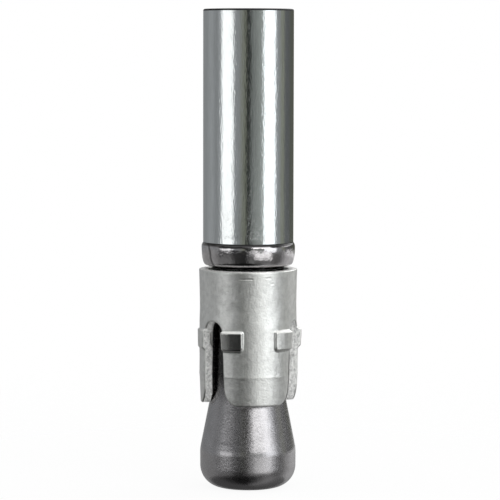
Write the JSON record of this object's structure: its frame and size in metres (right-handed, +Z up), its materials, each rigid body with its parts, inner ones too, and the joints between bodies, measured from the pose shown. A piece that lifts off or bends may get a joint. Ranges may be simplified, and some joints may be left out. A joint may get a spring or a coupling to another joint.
{
  "type": "drop in anchor",
  "caption": "Internally threaded wedge anchor for concrete: threaded tube, rolled collar, neck and cone in one piece, with a slotted expansion sleeve that turns on the neck.",
  "frame": {"origin": "centre of the flat foot under the cone, on the anchor's axis", "axes": "+Z up the axis to the mouth of the thread; +Y through the slot above which the sleeve's seam lies"},
  "size_m": [0.0176, 0.0169, 0.08],
  "materials": {
    "bright_zinc": "bright zinc plated, drawn tube; darker and rolled on the cone",
    "satin_zinc": "satin zinc plated sheet, with sheared edges"
  },
  "bodies": {
    "bolt": {"anchor_body": "bright_zinc"},
    "sleeve": {"expansion_sleeve": "satin_zinc"}
  },
  "joints": [
    {"name": "sleeve_turn", "type": "hinge", "parent": "bolt", "child": "sleeve", "pos_m": [0, 0, 0.0256], "axis": [0, 0, 1], "continuous": true}
  ]
}
